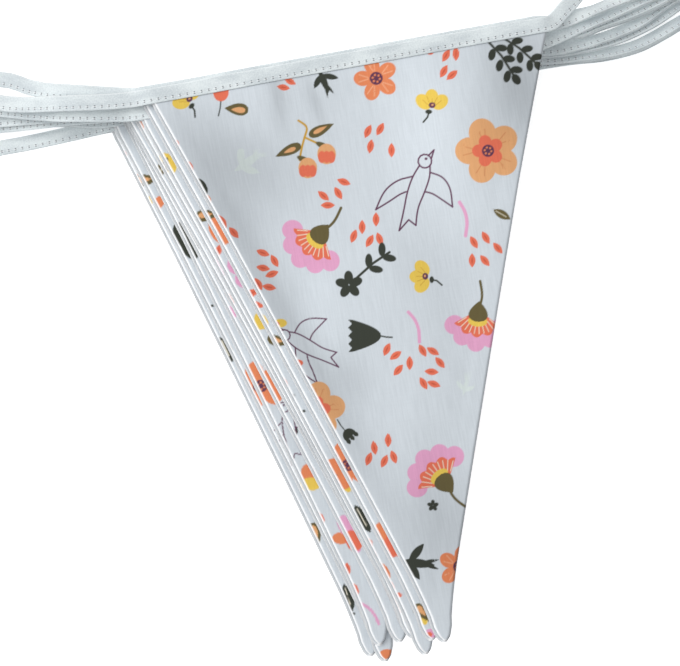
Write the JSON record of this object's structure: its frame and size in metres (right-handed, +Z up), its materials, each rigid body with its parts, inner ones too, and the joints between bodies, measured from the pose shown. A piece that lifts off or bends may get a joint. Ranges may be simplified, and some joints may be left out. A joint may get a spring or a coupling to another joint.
{
  "type": "fabric bunting",
  "caption": "String of triangular printed cotton pennants on a white folded tape, folded back and forth into a fanned stack",
  "frame": {"origin": "on the surface that the stack lies on, under the middle of its bounding box", "axes": "+Z up; +X to the right across the pennants, as the picture shows them; +Y towards the tape, away from the tips"},
  "size_m": [0.3502, 0.3026, 0.0288],
  "materials": {
    "white binding tape": "white cotton bias tape, plain weave, with a stitch line",
    "printed cotton": "pale blue-grey cotton with a tossed print of flowers, leaves, seeds and birds",
    "printed cotton, back panel": "the same printed cotton, its print facing down"
  },
  "bodies": {
    "root": {"binding": "white binding tape", "pennant_1_front": "printed cotton", "pennant_1_back": "printed cotton, back panel", "pennant_2_front": "printed cotton", "pennant_2_back": "printed cotton, back panel", "pennant_3_front": "printed cotton", "pennant_3_back": "printed cotton, back panel", "pennant_4_front": "printed cotton", "pennant_4_back": "printed cotton, back panel", "pennant_5_front": "printed cotton", "pennant_5_back": "printed cotton, back panel", "pennant_6_front": "printed cotton", "pennant_6_back": "printed cotton, back panel", "pennant_7_front": "printed cotton", "pennant_7_back": "printed cotton, back panel", "pennant_8_front": "printed cotton", "pennant_8_back": "printed cotton, back panel", "pennant_9_front": "printed cotton", "pennant_9_back": "printed cotton, back panel"}
  },
  "joints": []
}
